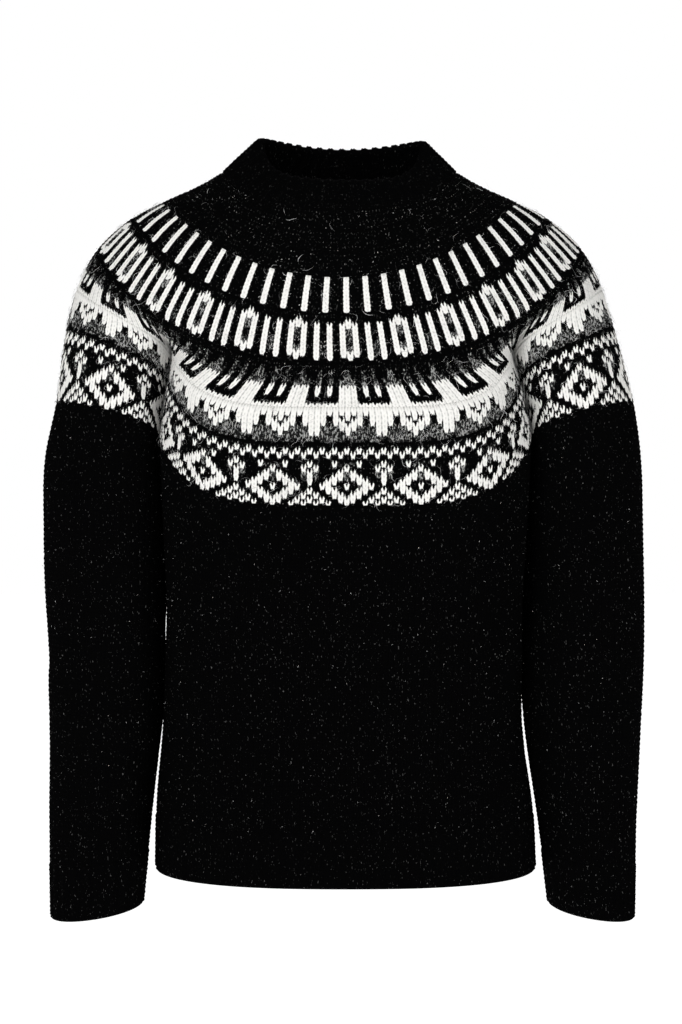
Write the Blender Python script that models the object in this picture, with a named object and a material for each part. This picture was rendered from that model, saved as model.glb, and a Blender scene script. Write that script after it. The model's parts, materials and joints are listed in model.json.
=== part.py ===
"""A black wool pullover with a patterned round yoke, standing in the shape it has when worn.

It is knitted in the round: one body tube, two sleeve tubes and one yoke that joins them, with
a folded neckband, a ribbed hem and two ribbed cuffs. Metres, +Z up, the front faces -Y.
The origin lies between the shoulders, where the neckband meets the shoulder line. Left and
right are the wearer's, so the right sleeve lies at -X.
"""

import math

import bmesh
import bpy
import numpy as np

# Driving dimensions of the knit
WALL = 0.004  # thickness of the plain knit
BAND_WALL = 0.0062  # the neckband is folded double
SEAM_GAP = 0.0003
RIB_RAISE = 0.0012  # how far a rib's knit column stands out of the purl column
BODY_LENGTH = 0.404  # underarm to hem, at the side
SLEEVE_LENGTH = 0.440  # underarm to wrist
RIB_DEPTH = 0.050  # height of the hem rib and of the cuffs
BAND_CROWN = 0.0018  # how far the fold of the neckband rises between its two faces

# The underarm, where body and sleeve are joined to each other and not to the yoke
UNDERARM_REACH = 0.038  # half of the join, measured from the side line to its front and back end
UNDERARM_SAG = 0.010
BODY_SHARE = 39 / 66  # part of a quarter of the yoke's lower edge that belongs to the body

# Columns round a quarter of the yoke, along the underarm join, and rows down each piece
BODY_COLUMNS = 16
SLEEVE_COLUMNS = 11
JOIN_COLUMNS = 4
YOKE_ROWS = 13
BODY_ROWS = 8
SLEEVE_ROWS = 12
BAND_ROWS = 3
RIB_ROWS = 1
NECK_RIBS = 44
HEM_RIBS = 86
CUFF_RIBS = 22

# The yoke's rings, from the neckband's foot to the underarm. down is the share of the way down
# the cloth. fall is the power that shapes how a ring drops from the shoulder to its centre, and
# a small ease makes it drop sooner.
YOKE = {
    "columns": ("down", "half_width", "front", "front_z", "side_z", "back", "back_z", "fall", "ease"),
    "rows": (
        (0.00, 0.1085, 0.0960, -0.0460, -0.0030, 0.0860, -0.0100, 2.00, 0.60),
        (0.12, 0.1300, 0.1050, -0.0760, -0.0155, 0.0950, -0.0410, 2.00, 4.00),
        (0.25, 0.1650, 0.1120, -0.1090, -0.0315, 0.1010, -0.0730, 2.10, 12.0),
        (0.39, 0.1960, 0.1180, -0.1480, -0.0480, 0.1060, -0.1090, 1.90, 15.0),
        (0.52, 0.2230, 0.1220, -0.1830, -0.0725, 0.1090, -0.1440, 1.80, 15.0),
        (0.62, 0.2370, 0.1240, -0.2090, -0.0960, 0.1105, -0.1710, 2.05, 15.0),
        (0.76, 0.2505, 0.1250, -0.2480, -0.1360, 0.1110, -0.2090, 2.55, 15.0),
        (0.86, 0.2580, 0.1245, -0.2750, -0.1680, 0.1100, -0.2360, 3.15, 15.0),
        (1.00, 0.2675, 0.1230, -0.3130, -0.2170, 0.1080, -0.2730, 3.95, 15.0),
    ),
}
YOKE_POWER = 2.05  # roundness of the rings where body and arms are one

# The neckband's rings, from the yoke to the fold at the top. down counts upwards here.
BAND = {
    "columns": YOKE["columns"],
    "rows": (
        (0.00, 0.1085, 0.0960, -0.0460, -0.0030, 0.0860, -0.0100, 2.00, 0.60),
        (0.50, 0.0920, 0.0820, -0.0310, 0.0140, 0.0755, 0.0095, 2.00, 0.40),
        (1.00, 0.0765, 0.0690, -0.0165, 0.0275, 0.0680, 0.0265, 2.00, 0.28),
    ),
}

# The body's rings, from the underarm to the hem
BODY = {
    "columns": ("down", "half_width", "front", "back", "centre_x"),
    "rows": (
        (0.00, 0.1702, 0.1230, 0.1080, 0.0000),
        (0.25, 0.1650, 0.1200, 0.1050, -0.0005),
        (0.50, 0.1620, 0.1165, 0.1030, -0.0020),
        (0.65, 0.1655, 0.1155, 0.1035, -0.0028),
        (0.85, 0.1735, 0.1160, 0.1060, -0.0010),
        (1.00, 0.1755, 0.1165, 0.1075, 0.0000),
    ),
}
BODY_POWER = 2.5
HEM_Z = {"front": -0.654, "side": -0.645, "back": -0.645}

# The sleeves' rings, from the underarm to the wrist
SLEEVE_COLUMN_NAMES = ("down", "outer_x", "inner_x", "half_depth", "centre_y")
SLEEVE = {
    "right": {
        "columns": SLEEVE_COLUMN_NAMES,
        "rows": (
            (0.00, 0.2675, 0.1641, 0.0690, 0.0000),
            (0.10, 0.2780, 0.1655, 0.0680, 0.0000),
            (0.25, 0.2797, 0.1665, 0.0640, -0.0010),
            (0.50, 0.2757, 0.1670, 0.0570, -0.0040),
            (0.65, 0.2735, 0.1710, 0.0510, -0.0080),
            (0.80, 0.2735, 0.1785, 0.0440, -0.0130),
            (1.00, 0.2715, 0.1870, 0.0360, -0.0200),
        ),
    },
    "left": {
        "columns": SLEEVE_COLUMN_NAMES,
        "rows": (
            (0.00, 0.2675, 0.1641, 0.0690, 0.0000),
            (0.10, 0.2735, 0.1655, 0.0680, 0.0000),
            (0.25, 0.2757, 0.1650, 0.0640, -0.0010),
            (0.50, 0.2762, 0.1630, 0.0570, -0.0040),
            (0.65, 0.2725, 0.1668, 0.0510, -0.0080),
            (0.80, 0.2688, 0.1765, 0.0440, -0.0130),
            (1.00, 0.2660, 0.1870, 0.0360, -0.0200),
        ),
    },
}
SLEEVE_POWER = 2.1
SLEEVE_POWER_JOIN = 3.2  # of the inner side at the underarm, where it lies flat against the body
CUFF_INNER_Z = -0.677
CUFF_OUTER_Z = -0.690
CUFF_FRONT_DROP = 0.006

# The upright line where sleeve and body lie against each other, and the room between them
DIVIDE = {
    "columns": ("height", "right", "left", "room"),
    "rows": (
        (-0.700, 0.1830, 0.1820, 0.0040),
        (-0.600, 0.1785, 0.1755, 0.0030),
        (-0.540, 0.1725, 0.1660, 0.0026),
        (-0.500, 0.1680, 0.1630, 0.0026),
        (-0.400, 0.1650, 0.1625, 0.0026),
        (-0.300, 0.1655, 0.1650, 0.0020),
        (-0.257, 0.1665, 0.1665, 0.0003),
        (-0.200, 0.1665, 0.1665, 0.0003),
    ),
}

# The crease between body and arm opens between these shares of the way down the yoke
CREASE_START = 0.42
CREASE_END = 0.98

# The whole top leans a little towards -X
LEAN = -0.0056
LEAN_FROM_Z = -0.240
LEAN_TO_Z = -0.120

# The largest folds, as soft troughs. around is the share of the way round from where a ring
# starts, slant is measured from upright in degrees, the rest is in metres.
FOLD_COLUMNS = ("around", "down", "slant", "length", "width", "depth")
FOLDS = {
    "body": (
        (0.855, 0.16, -34.0, 0.090, 0.024, 0.0040),
        (0.145, 0.19, 30.0, 0.075, 0.021, 0.0034),
        (0.935, 0.70, 9.0, 0.120, 0.032, 0.0030),
        (0.060, 0.62, -12.0, 0.100, 0.028, 0.0026),
        (0.175, 0.80, 5.0, 0.080, 0.024, 0.0032),
        (0.360, 0.16, -31.0, 0.085, 0.022, 0.0038),
        (0.635, 0.20, 27.0, 0.095, 0.025, 0.0036),
        (0.505, 0.52, 3.0, 0.140, 0.036, 0.0034),
        (0.430, 0.79, -9.0, 0.085, 0.027, 0.0026),
        (0.590, 0.71, 11.0, 0.110, 0.031, 0.0030),
    ),
    "sleeve_right": (
        (0.120, 0.17, -24.0, 0.070, 0.018, 0.0036),
        (0.160, 0.50, 58.0, 0.045, 0.020, 0.0034),
        (0.300, 0.86, 40.0, 0.050, 0.019, 0.0026),
        (0.700, 0.44, -52.0, 0.050, 0.021, 0.0038),
        (0.740, 0.82, -35.0, 0.060, 0.018, 0.0028),
    ),
    "sleeve_left": (
        (0.125, 0.20, -20.0, 0.080, 0.019, 0.0032),
        (0.170, 0.57, 52.0, 0.050, 0.021, 0.0038),
        (0.260, 0.83, 44.0, 0.045, 0.018, 0.0028),
        (0.720, 0.49, -57.0, 0.048, 0.020, 0.0034),
        (0.680, 0.88, -30.0, 0.050, 0.018, 0.0024),
    ),
}

# How far the rims at each seam tilt: level round the underarm, sloping at the neck
UNDERARM_TILT = 0.0
NECK_TILT = math.radians(42)

DENSE = 241  # points used to measure lengths along a curve
BLACK_WOOL = (0.012, 0.012, 0.013, 1.0)
YOKE_WOOL = (0.16, 0.16, 0.155, 1.0)


def smoothstep(x, start, end):
    share = np.clip((np.asarray(x, float) - start) / (end - start), 0.0, 1.0)
    return share * share * (3.0 - 2.0 * share)


def at(table, place):
    """The columns of a table at a place in its first one, on a smooth curve through its rows."""
    rows = np.array(table["rows"], float)
    knots = rows[:, 0]
    slopes = np.gradient(rows, knots, axis=0)
    row = int(np.clip(np.searchsorted(knots, place, side="right") - 1, 0, len(knots) - 2))
    step = knots[row + 1] - knots[row]
    share = (place - knots[row]) / step
    values = (
        rows[row] * (1 + 2 * share) * (1 - share) ** 2
        + slopes[row] * step * share * (1 - share) ** 2
        + rows[row + 1] * share**2 * (3 - 2 * share)
        + slopes[row + 1] * step * share**2 * (share - 1)
    )
    return dict(zip(table["columns"], values))


def along(points, shares):
    """Points of a curve at the given shares of its length."""
    steps = np.linalg.norm(np.diff(points, axis=0), axis=1)
    place = np.concatenate([[0.0], np.cumsum(steps)])
    place /= place[-1]
    return np.column_stack([np.interp(shares, place, column) for column in points.T])


def quarter(half_width, depth, power, last=0.5 * math.pi):
    """A superellipse from its centre front round towards its side, as x and depth."""
    angle = np.linspace(0.0, last, DENSE)
    across = half_width * np.sin(angle) ** (2 / power)
    inward = depth * np.maximum(np.cos(angle), 0.0) ** (2 / power)
    return np.column_stack([across, inward])


def body_arc(ring, face):
    """The body's edge from the centre of one face to the end of the underarm join."""
    depth = ring[face]
    last = math.acos((UNDERARM_REACH / depth) ** (BODY_POWER / 2))
    return quarter(ring["half_width"], depth, BODY_POWER, last)


def sleeve_join_reach(ring):
    return UNDERARM_REACH * ring["half_depth"] / SLEEVE["left"]["rows"][0][3]


def sleeve_arc(ring, inner_power):
    """Half of a sleeve's edge: from the end of the underarm join round to the outer side."""
    centre = (ring["outer_x"] + ring["inner_x"]) / 2
    reach = (ring["outer_x"] - ring["inner_x"]) / 2
    depth = ring["half_depth"]
    last = math.acos((sleeve_join_reach(ring) / depth) ** (inner_power / 2))
    inner = quarter(reach, depth, inner_power, last)[::-1]
    outer = quarter(reach, depth, SLEEVE_POWER)
    inner[:, 0] = centre - inner[:, 0]
    outer[:, 0] = centre + outer[:, 0]
    return np.concatenate([inner[:-1], outer])


def lobed_quarter(face, shares):
    """A quarter of the yoke's lower edge, which runs round the body and then the arm."""
    body = along(body_arc(at(BODY, 0.0), face), shares / BODY_SHARE)
    arm_shares = (shares - BODY_SHARE) / (1 - BODY_SHARE)
    arm = along(sleeve_arc(at(SLEEVE["left"], 0.0), SLEEVE_POWER_JOIN), arm_shares)
    return np.where((shares <= BODY_SHARE)[:, None], body, arm)


def ring_height(ring, face, shares, crease):
    """The height of a ring over a quarter of its way round. It is level next to the underarm."""
    before = BODY_SHARE * (1 - 1 / BODY_COLUMNS)
    after = BODY_SHARE + (1 - BODY_SHARE) / SLEEVE_COLUMNS
    landing = np.interp(shares, (0.0, before, after, 1.0), (0.0, BODY_SHARE, BODY_SHARE, 1.0))
    eased = shares * (1 - crease) + landing * crease
    plan = along(quarter(ring["half_width"], ring[face], YOKE_POWER), eased)
    drop = (plan[:, 1] / ring[face]) ** ring["fall"]
    drop = drop * (1 + ring["ease"]) / (drop + ring["ease"])
    return ring["side_z"] + (ring[face + "_z"] - ring["side_z"]) * drop


def edge_height(face, shares):
    return ring_height(at(YOKE, 1.0), face, shares, 1.0)


def underarm_height(depth, reach=UNDERARM_REACH):
    """The height of the underarm join between its front end and its back end."""
    share = (depth + reach) / (2 * reach)
    end = np.array([BODY_SHARE])
    level = edge_height("front", end) * (1 - share) + edge_height("back", end) * share
    return level - UNDERARM_SAG * np.sin(math.pi * share)


def leaning(points):
    points[:, 0] += LEAN * smoothstep(points[:, 2], LEAN_FROM_Z, LEAN_TO_Z)
    return points


def divide(points, side):
    """The line between sleeve and body at the height of each point, and half the room there."""
    rows = np.array(DIVIDE["rows"])
    column = DIVIDE["columns"].index(side)
    line = np.interp(points[:, 2], rows[:, 0], rows[:, column])
    room = np.interp(points[:, 2], rows[:, 0], rows[:, 3])
    return line, room / 2


def mirrored(half):
    """A closed ring from its half at +X, whose first and last point lie on the middle line."""
    return np.concatenate([half, half[::-1][1:-1] * (-1, 1, 1)])


def face_quarter(ring, face, shares, crease):
    """A quarter of a ring round the neck or yoke, in space."""
    plan = along(quarter(ring["half_width"], ring[face], YOKE_POWER), shares)
    if crease > 0.0:
        widest = at(YOKE, 1.0)
        scale = (ring["half_width"] / widest["half_width"], ring[face] / widest[face])
        plan = plan * (1 - crease) + lobed_quarter(face, shares) * scale * crease
    side = -1.0 if face == "front" else 1.0
    return np.column_stack([plan[:, 0], side * plan[:, 1], ring_height(ring, face, shares, crease)])


def round_ring(ring, shares, crease):
    front = face_quarter(ring, "front", shares, crease)
    back = face_quarter(ring, "back", shares, crease)
    return leaning(mirrored(np.concatenate([front, back[::-1][1:]])))


def yoke_ring(down):
    body = np.linspace(0.0, BODY_SHARE, BODY_COLUMNS + 1)
    arm = np.linspace(BODY_SHARE, 1.0, SLEEVE_COLUMNS + 1)
    crease = float(smoothstep(down, CREASE_START, CREASE_END))
    return round_ring(at(YOKE, down), np.concatenate([body, arm[1:]]), crease)


def band_ring(up):
    return round_ring(at(BAND, up), np.linspace(0.0, 1.0, NECK_RIBS // 2 + 1), 0.0)


def hang(top, bottom, down, rib_top):
    """The height on the way down from an upper edge to a hem, with a rib of even depth."""
    rib_z = bottom + RIB_DEPTH
    if down <= rib_top:
        return top + (rib_z - top) * down / rib_top
    return rib_z + (bottom - rib_z) * (down - rib_top) / (1 - rib_top)


BODY_RIB_TOP = 1 - RIB_DEPTH / BODY_LENGTH
SLEEVE_RIB_TOP = 1 - RIB_DEPTH / SLEEVE_LENGTH


def body_ring(down):
    """A ring of the body, from centre front by the left underarm to centre back and round."""
    ring = at(BODY, down)
    shares = np.linspace(0.0, 1.0, BODY_COLUMNS + 1)
    faces = []
    for face, side in (("front", -1.0), ("back", 1.0)):
        plan = along(body_arc(ring, face), shares)
        top = edge_height(face, shares * BODY_SHARE) - SEAM_GAP
        bottom = HEM_Z["side"] + (HEM_Z[face] - HEM_Z["side"]) * plan[:, 1] / ring[face]
        height = hang(top, bottom, down, BODY_RIB_TOP)
        faces.append(np.column_stack([plan[:, 0], side * plan[:, 1], height]))
    depth = np.linspace(-UNDERARM_REACH, UNDERARM_REACH, JOIN_COLUMNS + 1)[1:-1]
    limit = np.where(depth < 0, ring["front"], ring["back"])
    width = ring["half_width"] * (1 - (np.abs(depth) / limit) ** BODY_POWER) ** (1 / BODY_POWER)
    bottom = np.full(len(depth), HEM_Z["side"])
    height = hang(underarm_height(depth) - SEAM_GAP, bottom, down, BODY_RIB_TOP)
    join = np.column_stack([width, depth, height])
    points = mirrored(np.concatenate([faces[0], join, faces[1][::-1]]))
    points[:, 0] += ring["centre_x"]
    points = leaning(points)
    left, room = divide(points, "left")
    right, room = divide(points, "right")
    points[:, 0] = np.clip(points[:, 0], room - right, left - room)
    return points


def sleeve_ring(side, down):
    """A ring of one sleeve: from the front end of the join by the outer side, and along the join."""
    ring = at(SLEEVE[side], down)
    join_reach = sleeve_join_reach(ring)
    inner_power = SLEEVE_POWER + (SLEEVE_POWER_JOIN - SLEEVE_POWER) * (1 - down) ** 2
    shares = np.linspace(0.0, 1.0, SLEEVE_COLUMNS + 1)
    arm_shares = BODY_SHARE + shares * (1 - BODY_SHARE)
    plan = along(sleeve_arc(ring, inner_power), shares)
    front = np.column_stack([plan[:, 0], -plan[:, 1], edge_height("front", arm_shares)])
    back = np.column_stack([plan, edge_height("back", arm_shares)])[::-1]
    depth = np.linspace(join_reach, -join_reach, JOIN_COLUMNS + 1)[1:-1]
    centre = (ring["outer_x"] + ring["inner_x"]) / 2
    reach = (ring["outer_x"] - ring["inner_x"]) / 2
    bow = (1 - (np.abs(depth) / ring["half_depth"]) ** inner_power) ** (1 / inner_power)
    join = np.column_stack([centre - reach * bow, depth, underarm_height(depth, join_reach)])
    points = np.concatenate([front, back[1:], join])
    across = (points[:, 0] - ring["inner_x"]) / (2 * reach)
    facing = np.clip(-points[:, 1] / ring["half_depth"], 0.0, 1.0)
    wrist = CUFF_INNER_Z + (CUFF_OUTER_Z - CUFF_INNER_Z) * across - CUFF_FRONT_DROP * facing
    points[:, 2] = hang(points[:, 2] - SEAM_GAP, wrist, down, SLEEVE_RIB_TOP)
    points[:, 1] += ring["centre_y"]
    line, room = divide(points, side)
    points[:, 0] = np.maximum(points[:, 0], line + room)
    if side == "right":
        points[:, 0] *= -1
    return leaning(points)


def spaced(ring, columns):
    """A closed ring set out again with evenly spaced points."""
    closed = np.concatenate([ring, ring[:1]])
    return along(closed, np.arange(columns) / columns)


def level_normals(ring, tilt):
    """The directions out of a ring in plan, all tilted up by the same angle."""
    plan = ring[:, :2]
    tangent = np.roll(plan, -1, axis=0) - np.roll(plan, 1, axis=0)
    tangent /= np.linalg.norm(tangent, axis=1)[:, None]
    after = np.roll(plan, -1, axis=0)
    area = (plan[:, 0] * after[:, 1] - plan[:, 1] * after[:, 0]).sum()
    normal = np.column_stack([tangent[:, 1], -tangent[:, 0]]) * math.copysign(1.0, area)
    rise = np.full(len(ring), math.sin(tilt))
    return np.column_stack([normal * math.cos(tilt), rise])


def cloth_normals(rings, top_tilt, bottom_tilt):
    """The direction out of the cloth at each point, with the seams' own tilt at both ends."""
    around = np.roll(rings, -1, axis=1) - np.roll(rings, 1, axis=1)
    normals = np.cross(around, np.gradient(rings, axis=0))
    normals /= np.linalg.norm(normals, axis=2)[:, :, None]
    outward = np.array([level_normals(ring, 0.0) for ring in rings])
    if (normals * outward).sum() < 0:
        normals = -normals
    normals[0] = level_normals(rings[0], top_tilt)
    normals[-1] = level_normals(rings[-1], bottom_tilt)
    return normals


def folded(rings, folds):
    """Rings with their folds pressed in, which fade out towards both seams."""
    grid = np.array(rings)
    normals = cloth_normals(grid, 0.0, 0.0)
    steps = np.linalg.norm(np.roll(grid, -1, axis=1) - grid, axis=2)
    girth = steps.sum(axis=1)[:, None]
    place = (np.cumsum(steps, axis=1) - steps) / girth
    share = np.linspace(0.0, 1.0, len(grid))[:, None]
    drop = share * (grid[0, :, 2] - grid[-1, :, 2]).mean()
    press = np.zeros(place.shape)
    for row in folds:
        fold = dict(zip(FOLD_COLUMNS, row))
        slant = math.radians(fold["slant"])
        beside = ((place - fold["around"] + 0.5) % 1.0 - 0.5) * girth
        below = drop - fold["down"] * drop[-1, 0]
        across = beside * math.cos(slant) - below * math.sin(slant)
        lengthwise = beside * math.sin(slant) + below * math.cos(slant)
        bell = np.exp(-((across / fold["width"]) ** 2) - (lengthwise / fold["length"]) ** 2)
        press += fold["depth"] * bell
    press *= np.sin(math.pi * share) ** 0.5
    return grid - normals * press[:, :, None]


def tube(rings, thickness, tilts=(0.0, 0.0), rib_raise=0.0, crown=0.0):
    """A walled tube through rings of outer points, lofted down the outside and up the inside."""
    outer = np.array(rings)
    normals = cloth_normals(outer, *tilts)
    inner = outer - normals * thickness
    raised = (np.arange(outer.shape[1]) % 2 == 0)[None, :, None]
    outer = outer + normals * rib_raise * raised
    stack = list(outer) + list(inner[::-1])
    if crown > 0.0:
        top = (outer[-1] + inner[-1]) / 2
        top[:, 2] += crown
        stack.insert(len(outer), top)
    build = bmesh.new()
    loops = [[build.verts.new(point) for point in ring] for ring in stack]
    for upper, lower in zip(loops, loops[1:] + loops[:1]):
        for i, corner in enumerate(upper):
            build.faces.new((upper[i - 1], lower[i - 1], lower[i], corner))
    bmesh.ops.recalc_face_normals(build, faces=build.faces)
    mesh = bpy.data.meshes.new("tube")
    build.to_mesh(mesh)
    build.free()
    mesh.shade_smooth()
    return mesh


def wool(name, colour):
    material = bpy.data.materials.new(name)
    material.use_nodes = True
    shader = material.node_tree.nodes["Principled BSDF"]
    shader.inputs["Base Color"].default_value = colour
    shader.inputs["Roughness"].default_value = 0.95
    shader.inputs["Metallic"].default_value = 0.0
    return material


def add_piece(name, mesh, colour, collection):
    mesh.materials.append(wool(name + "_wool", colour))
    collection.objects.link(bpy.data.objects.new(name, mesh))


def make_yoke(collection):
    rings = [yoke_ring(down) for down in np.linspace(0.0, 1.0, YOKE_ROWS + 1)]
    add_piece("yoke", tube(rings, WALL, (NECK_TILT, UNDERARM_TILT)), YOKE_WOOL, collection)


def make_neckband(collection):
    foot = spaced(yoke_ring(0.0), 2 * NECK_RIBS)
    rings = [foot] + [band_ring(up) for up in np.linspace(0.0, 1.0, BAND_ROWS + 1)[1:]]
    along_slope = level_normals(foot, NECK_TILT + 0.5 * math.pi)
    rings = [ring + along_slope * SEAM_GAP for ring in rings]
    mesh = tube(rings, BAND_WALL, (NECK_TILT, NECK_TILT), RIB_RAISE, BAND_CROWN)
    add_piece("neckband", mesh, BLACK_WOOL, collection)


def make_body(collection):
    rings = [body_ring(down) for down in np.linspace(0.0, BODY_RIB_TOP, BODY_ROWS + 1)]
    add_piece("body", tube(folded(rings, FOLDS["body"]), WALL), BLACK_WOOL, collection)


def make_rib(name, rings, ribs, collection):
    rings = [spaced(ring, 2 * ribs) for ring in rings]
    rings[0][:, 2] -= SEAM_GAP
    add_piece(name, tube(rings, WALL, rib_raise=RIB_RAISE), BLACK_WOOL, collection)


def make_hem(collection):
    rings = [body_ring(down) for down in np.linspace(BODY_RIB_TOP, 1.0, RIB_ROWS + 1)]
    make_rib("hem_rib", rings, HEM_RIBS, collection)


def make_sleeve(side, collection):
    rings = [sleeve_ring(side, down) for down in np.linspace(0.0, SLEEVE_RIB_TOP, SLEEVE_ROWS + 1)]
    name = "sleeve_" + side
    add_piece(name, tube(folded(rings, FOLDS[name]), WALL), BLACK_WOOL, collection)


def make_cuff(side, collection):
    rings = [sleeve_ring(side, down) for down in np.linspace(SLEEVE_RIB_TOP, 1.0, RIB_ROWS + 1)]
    make_rib("cuff_" + side, rings, CUFF_RIBS, collection)


def main():
    for old in list(bpy.data.objects):
        bpy.data.objects.remove(old)
    collection = bpy.data.collections.new("yoke_pullover")
    bpy.context.scene.collection.children.link(collection)
    make_neckband(collection)
    make_yoke(collection)
    make_body(collection)
    make_hem(collection)
    for side in ("right", "left"):
        make_sleeve(side, collection)
        make_cuff(side, collection)


main()
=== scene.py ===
import json
import math

import bmesh
import bpy
import numpy as np
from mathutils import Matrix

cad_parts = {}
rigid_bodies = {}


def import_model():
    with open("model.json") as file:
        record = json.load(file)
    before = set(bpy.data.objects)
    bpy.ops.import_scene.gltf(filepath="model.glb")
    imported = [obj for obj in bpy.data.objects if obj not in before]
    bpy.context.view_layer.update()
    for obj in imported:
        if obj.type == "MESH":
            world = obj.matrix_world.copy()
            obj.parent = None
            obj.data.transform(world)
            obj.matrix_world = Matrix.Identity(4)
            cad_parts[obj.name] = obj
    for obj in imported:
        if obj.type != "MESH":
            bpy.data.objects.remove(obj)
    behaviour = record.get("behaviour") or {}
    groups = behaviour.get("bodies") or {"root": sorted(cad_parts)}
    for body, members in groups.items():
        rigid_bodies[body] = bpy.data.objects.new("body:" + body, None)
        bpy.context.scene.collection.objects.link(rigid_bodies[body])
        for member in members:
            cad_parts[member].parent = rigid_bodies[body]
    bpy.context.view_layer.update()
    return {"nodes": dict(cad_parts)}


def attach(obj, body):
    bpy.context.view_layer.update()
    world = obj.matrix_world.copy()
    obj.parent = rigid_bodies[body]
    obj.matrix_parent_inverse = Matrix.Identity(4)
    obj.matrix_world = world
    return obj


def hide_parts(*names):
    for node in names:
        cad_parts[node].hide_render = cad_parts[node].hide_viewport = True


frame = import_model()
print("nodes:", ", ".join(sorted(frame["nodes"])))

# %% [markdown]
# ## The camera
#
# The photograph looks straight at the chest. Its distance isn't known and is estimated here. The
# lens is worked out from that distance and from the height that the picture holds, so the numbers
# keep their meaning.
# %% Camera
IMAGE_WIDTH = 682
IMAGE_HEIGHT = 1024
METRES_PER_PIXEL = 0.00093  # at the middle of the garment
CAMERA_DISTANCE = 2.7
ORIGIN_PIXEL = (345.5, 170.0)  # where the garment's origin lies in the picture
SENSOR = 24.0

camera_x = (IMAGE_WIDTH / 2 - ORIGIN_PIXEL[0]) * METRES_PER_PIXEL
camera_z = (ORIGIN_PIXEL[1] - IMAGE_HEIGHT / 2) * METRES_PER_PIXEL
lens_data = bpy.data.cameras.new("camera")
lens_data.sensor_fit = "VERTICAL"
lens_data.sensor_height = SENSOR
lens_data.lens = SENSOR * CAMERA_DISTANCE / (IMAGE_HEIGHT * METRES_PER_PIXEL)
camera = bpy.data.objects.new("camera", lens_data)
camera.location = (camera_x, -CAMERA_DISTANCE, camera_z)
camera.rotation_euler = (math.radians(90.0), 0.0, 0.0)
bpy.context.scene.collection.objects.link(camera)
bpy.context.scene.camera = camera
print(f"lens {lens_data.lens:.1f} mm at {CAMERA_DISTANCE} m")

# %% [markdown]
# ## Sizes of the knit
#
# A knitter measures a fabric by its gauge: so many stitches and rows to ten centimetres. The other
# sizes start from those of the CAD part. Here the crease of the armpit is deeper and steeper, the
# yoke's rings run lower beside the middle and flatter across the chest, and the neckband's fold is
# fuller. The tables give one row for each ring of the yoke, the band, the body and the sleeves.
# %% Gauge and form
STITCH = 0.00556
ROW = 0.00417
WALL = 0.004  # thickness of the plain knit
BAND_WALL = 0.0078  # the neckband is folded double, with some air in the fold
BAND_SHIFT = 0.0023  # the top of the band sits towards the wearer's left, and hangs lower there
BAND_TILT = 0.0175
BODY_LENGTH = 0.404  # underarm to hem, at the side
SLEEVE_LENGTH = 0.440  # underarm to wrist
RIB_DEPTH = 0.050  # height of the hem rib and of the cuffs
UNDERARM_REACH = 0.024  # half of the join, measured from the side line to its front and back end
UNDERARM_SAG = 0.010
BODY_SHARE = 39 / 66  # part of a quarter of the yoke's lower edge that belongs to the body
SEAM_GAP = 0.0  # the knitting runs on from piece to piece
BODY_COLUMNS = 96
SLEEVE_COLUMNS = 64
JOIN_COLUMNS = 24
LEVEL_BODY = 1 / 16  # the parts of an edge next to the underarm that stay level
LEVEL_ARM = 1 / 11
DENSE = 241
YOKE = {
    "columns": ("down", "half_width", "front", "front_z", "side_z", "back", "back_z", "fall", "ease"),
    "rows": (
        (0.00, 0.1085, 0.0960, -0.0460, -0.0030, 0.0860, -0.0100, 2.00, 0.60),
        (0.12, 0.1300, 0.1050, -0.0760, -0.0155, 0.0950, -0.0410, 2.00, 4.00),
        (0.25, 0.1650, 0.1120, -0.1090, -0.0315, 0.1010, -0.0730, 2.10, 5.0),
        (0.39, 0.1960, 0.1180, -0.1480, -0.0480, 0.1060, -0.1090, 1.90, 2.5),
        (0.52, 0.2230, 0.1220, -0.1830, -0.0725, 0.1090, -0.1440, 1.80, 2.0),
        (0.62, 0.2370, 0.1240, -0.2090, -0.0960, 0.1105, -0.1710, 2.05, 3.0),
        (0.76, 0.2505, 0.1250, -0.2480, -0.1360, 0.1110, -0.2090, 2.55, 8.0),
        (0.86, 0.2580, 0.1245, -0.2750, -0.1680, 0.1100, -0.2360, 3.15, 15.0),
        (1.00, 0.2675, 0.1230, -0.3130, -0.2170, 0.1080, -0.2730, 3.95, 15.0),
    ),
}
YOKE_POWER = 2.05  # roundness of the rings where body and arms are one
BAND = {
    "columns": YOKE["columns"] + ("back_lift",),
    "rows": (
        (0.00, 0.1085, 0.0960, -0.0460, -0.0030, 0.0860, -0.0100, 2.00, 0.60, 0.0),
        (0.50, 0.0920, 0.0820, -0.0310, 0.0140, 0.0755, 0.0095, 2.00, 0.40, 0.0015),
        (1.00, 0.0785, 0.0700, -0.0165, 0.0275, 0.0690, 0.0265, 2.00, 0.28, 0.0035),
    ),
}
BODY = {
    "columns": ("down", "half_width", "front", "back", "centre_x"),
    "rows": (
        (0.00, 0.1702, 0.1230, 0.1080, 0.0000),
        (0.25, 0.1680, 0.1200, 0.1050, -0.0005),
        (0.50, 0.1668, 0.1165, 0.1030, -0.0020),
        (0.65, 0.1655, 0.1155, 0.1035, -0.0028),
        (0.85, 0.1735, 0.1160, 0.1060, -0.0010),
        (1.00, 0.1755, 0.1165, 0.1075, 0.0000),
    ),
}
BODY_POWER = 2.5
BODY_POWER_JOIN = 4.0  # at the underarm, where the body turns sharply into the crease
HEM_Z = {"front": -0.654, "side": -0.645, "back": -0.645}
SLEEVE_COLUMN_NAMES = ("down", "outer_x", "inner_x", "half_depth", "centre_y")
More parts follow.
